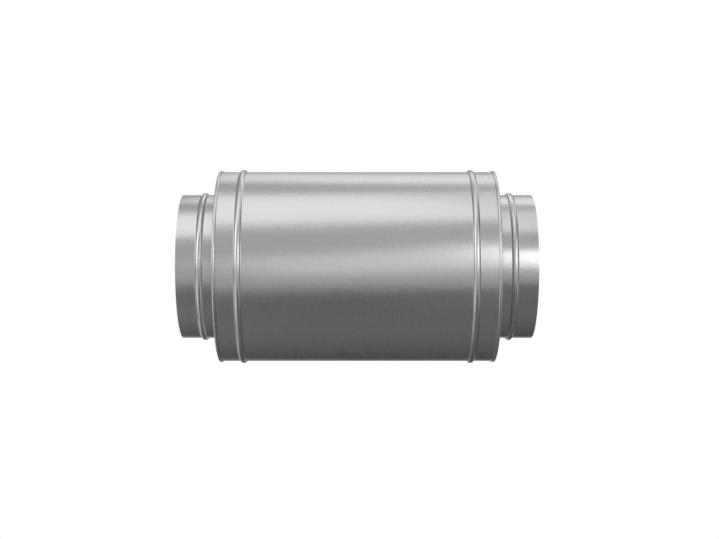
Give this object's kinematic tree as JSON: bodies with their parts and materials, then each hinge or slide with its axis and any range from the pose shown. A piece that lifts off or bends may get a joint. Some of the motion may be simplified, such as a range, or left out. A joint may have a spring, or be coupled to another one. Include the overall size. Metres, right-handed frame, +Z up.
{
  "type": "duct sound attenuator",
  "caption": "Straight round sound attenuator for ventilation duct: insulated steel casing with folded end caps, beaded spigots and a perforated liner.",
  "frame": {"origin": "middle of the air way, on the duct's axis and halfway between the two spigot mouths", "axes": "+X along the duct's axis to the right spigot, +Z up, -Y towards the plain front of the casing"},
  "size_m": [0.762, 0.4248, 0.4248],
  "materials": {
    "jacket_sheet": "hot-dip galvanised sheet with a fine dull spangle",
    "cap_sheet": "hot-dip galvanised sheet, spun and folded",
    "spigot_sheet": "hot-dip galvanised sheet, rolled and beaded",
    "liner_sheet": "perforated galvanised sheet",
    "tissue": "black glass-fibre tissue",
    "wool": "mineral wool mat"
  },
  "bodies": {
    "root": {"outer_jacket": "jacket_sheet", "end_cap_left": "cap_sheet", "end_cap_right": "cap_sheet", "spigot_left": "spigot_sheet", "spigot_right": "spigot_sheet", "perforated_liner": "liner_sheet", "glass_tissue": "tissue", "mineral_wool": "wool"}
  },
  "joints": []
}
